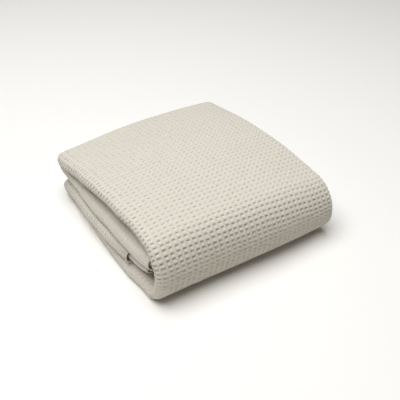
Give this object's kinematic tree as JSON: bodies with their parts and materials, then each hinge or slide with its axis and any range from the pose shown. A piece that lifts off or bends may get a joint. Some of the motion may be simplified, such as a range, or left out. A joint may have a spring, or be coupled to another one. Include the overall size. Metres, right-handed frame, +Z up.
{
  "type": "folded pique blanket",
  "caption": "Pale stone waffle-weave cotton blanket, folded lengthwise, its ends turned to the middle and then in half, as a soft square packet that rests flat.",
  "frame": {"origin": "centre of the packet's footprint, on the surface that it rests on", "axes": "+Z up through the folded layers, +X along the front fold with the looped folds at -X, +Y from the front fold to the back of the packet"},
  "size_m": [0.3359, 0.373, 0.1173],
  "materials": {
    "pique_cotton": "matt undyed-looking cotton in a raised waffle weave"
  },
  "bodies": {
    "root": {"blanket": "pique_cotton"}
  },
  "joints": []
}
